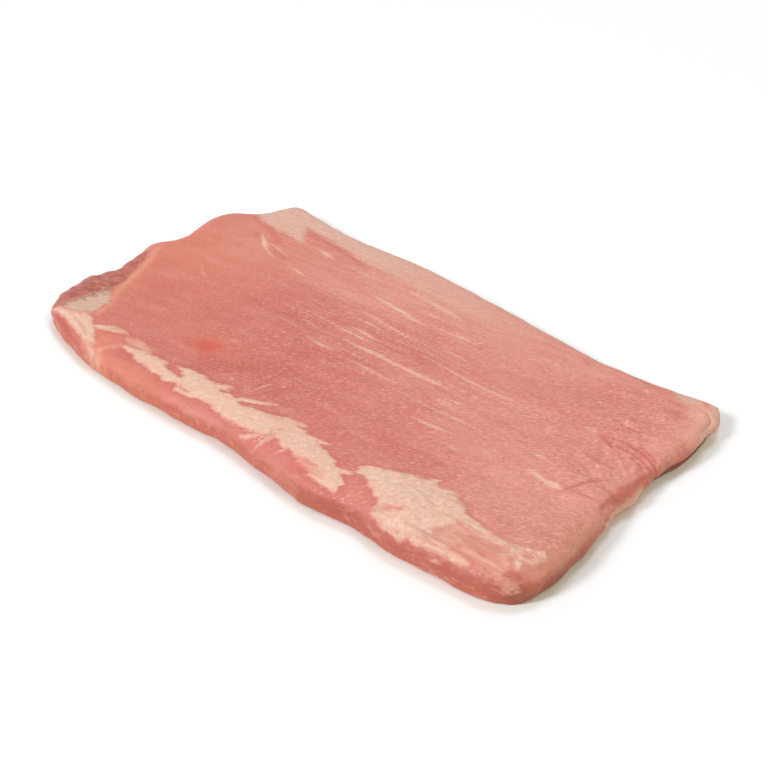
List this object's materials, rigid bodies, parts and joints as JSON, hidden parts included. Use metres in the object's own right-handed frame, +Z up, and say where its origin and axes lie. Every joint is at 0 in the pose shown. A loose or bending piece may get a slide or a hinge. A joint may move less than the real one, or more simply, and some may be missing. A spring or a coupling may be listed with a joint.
{
  "type": "raw beef flank steak",
  "caption": "Whole raw flank steak lying flat: a long thin slab of pale pink lean with patches of cream fat along one edge and one rough cut end.",
  "frame": {"origin": "middle of the piece's box, on the surface that it lies on", "axes": "+X along the muscle fibres towards the thick rounded end, +Y across them towards the thin edge, +Z up"},
  "size_m": [0.333, 0.186, 0.0168],
  "materials": {
    "meat": "moist raw pink lean with cream fat patches and fine pale grain"
  },
  "bodies": {
    "root": {"steak": "meat"}
  },
  "joints": []
}
